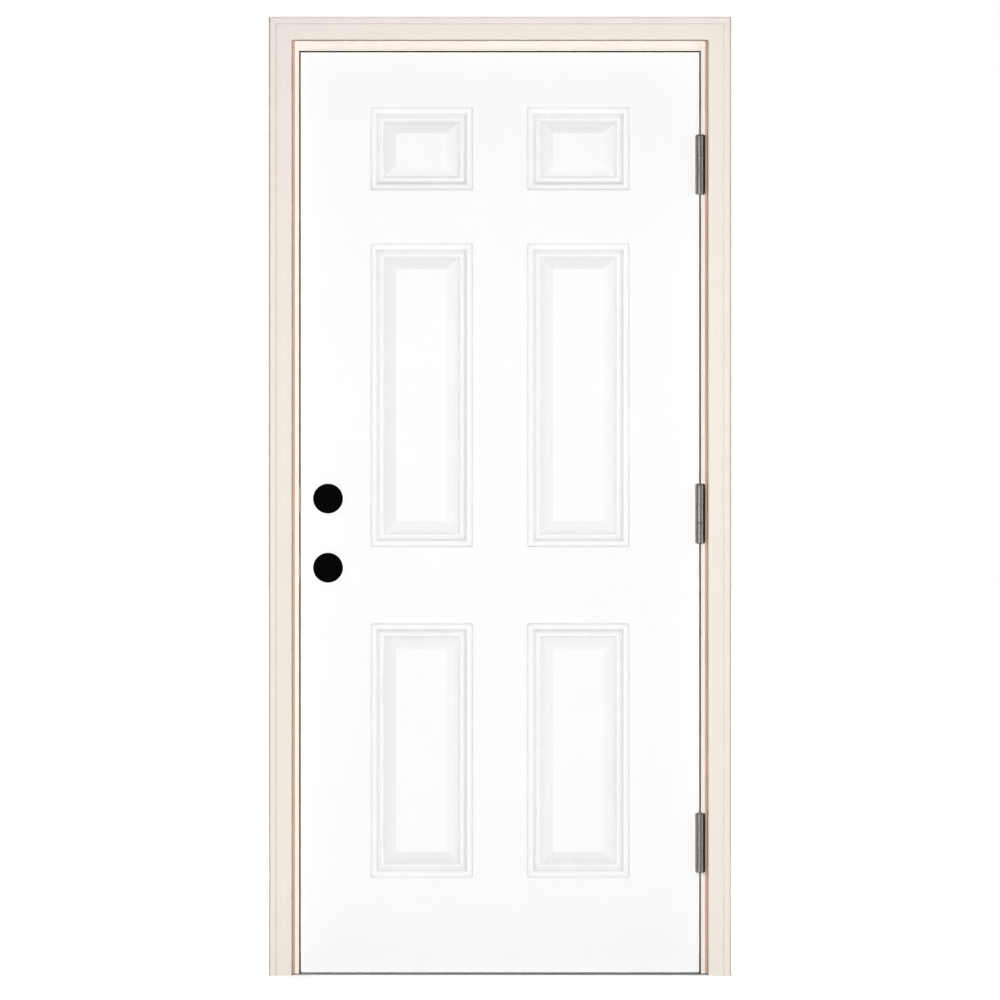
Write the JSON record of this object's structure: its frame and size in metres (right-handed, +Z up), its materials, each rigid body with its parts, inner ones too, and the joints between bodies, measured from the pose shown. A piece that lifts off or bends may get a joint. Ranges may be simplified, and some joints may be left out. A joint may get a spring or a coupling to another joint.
{
  "type": "panelled front door",
  "caption": "Outward-opening panelled steel entry door with raised panels, hung on butt hinges in a timber jamb with brickmould, weatherstrip and a low sill.",
  "frame": {"origin": "on the floor, half-way across, in the plane of the door's outdoor face", "axes": "+Z up, -Y outdoors, +X towards the hinges"},
  "size_m": [1.017, 0.148, 2.11],
  "materials": {
    "white_enamel": "semi-gloss enamel",
    "primed_wood": "matt off-white primer",
    "stile_wood": "bare planed wood",
    "core_foam": "rigid foam",
    "satin_nickel": "satin",
    "zinc_steel": "bright zinc",
    "mill_aluminium": "mill",
    "grey_seal": "matt vinyl",
    "sill_composite": "moulded",
    "black_plastic": "matt"
  },
  "bodies": {
    "door_frame": {"hinge_jamb": "primed_wood", "strike_jamb": "primed_wood", "head_jamb": "primed_wood", "hinge_side_brickmould": "primed_wood", "strike_side_brickmould": "primed_wood", "head_brickmould": "primed_wood", "hinge_side_weatherstrip": "grey_seal", "strike_side_weatherstrip": "grey_seal", "head_weatherstrip": "grey_seal", "corner_seal_pads": "grey_seal", "sill_substrate": "sill_composite", "sill_saddle": "mill_aluminium", "sill_bumper_seal": "grey_seal", "brickmould_nails": "zinc_steel", "head_corner_screws": "zinc_steel", "sill_screws": "zinc_steel", "upper_hinge_jamb_leaf": "satin_nickel", "middle_hinge_jamb_leaf": "satin_nickel", "lower_hinge_jamb_leaf": "satin_nickel", "upper_hinge_pin": "satin_nickel", "middle_hinge_pin": "satin_nickel", "lower_hinge_pin": "satin_nickel", "hinge_washers": "zinc_steel", "hinge_tips": "satin_nickel", "jamb_hinge_screws": "satin_nickel"},
    "door": {"front_skin": "white_enamel", "back_skin": "white_enamel", "hinge_stile": "stile_wood", "lock_stile": "stile_wood", "top_rail": "stile_wood", "bottom_rail": "stile_wood", "lock_block": "stile_wood", "foam_core": "core_foam", "upper_hinge_door_leaf": "satin_nickel", "middle_hinge_door_leaf": "satin_nickel", "lower_hinge_door_leaf": "satin_nickel", "door_hinge_screws": "satin_nickel", "door_sweep": "grey_seal", "deadbolt_bore_cover": "black_plastic", "lockset_bore_cover": "black_plastic"}
  },
  "joints": [
    {"name": "door_hinge", "type": "hinge", "parent": "door_frame", "child": "door", "pos_m": [0.441, -0.0122, 0], "axis": [0, 0, 1], "range_deg": [0, 155]}
  ]
}
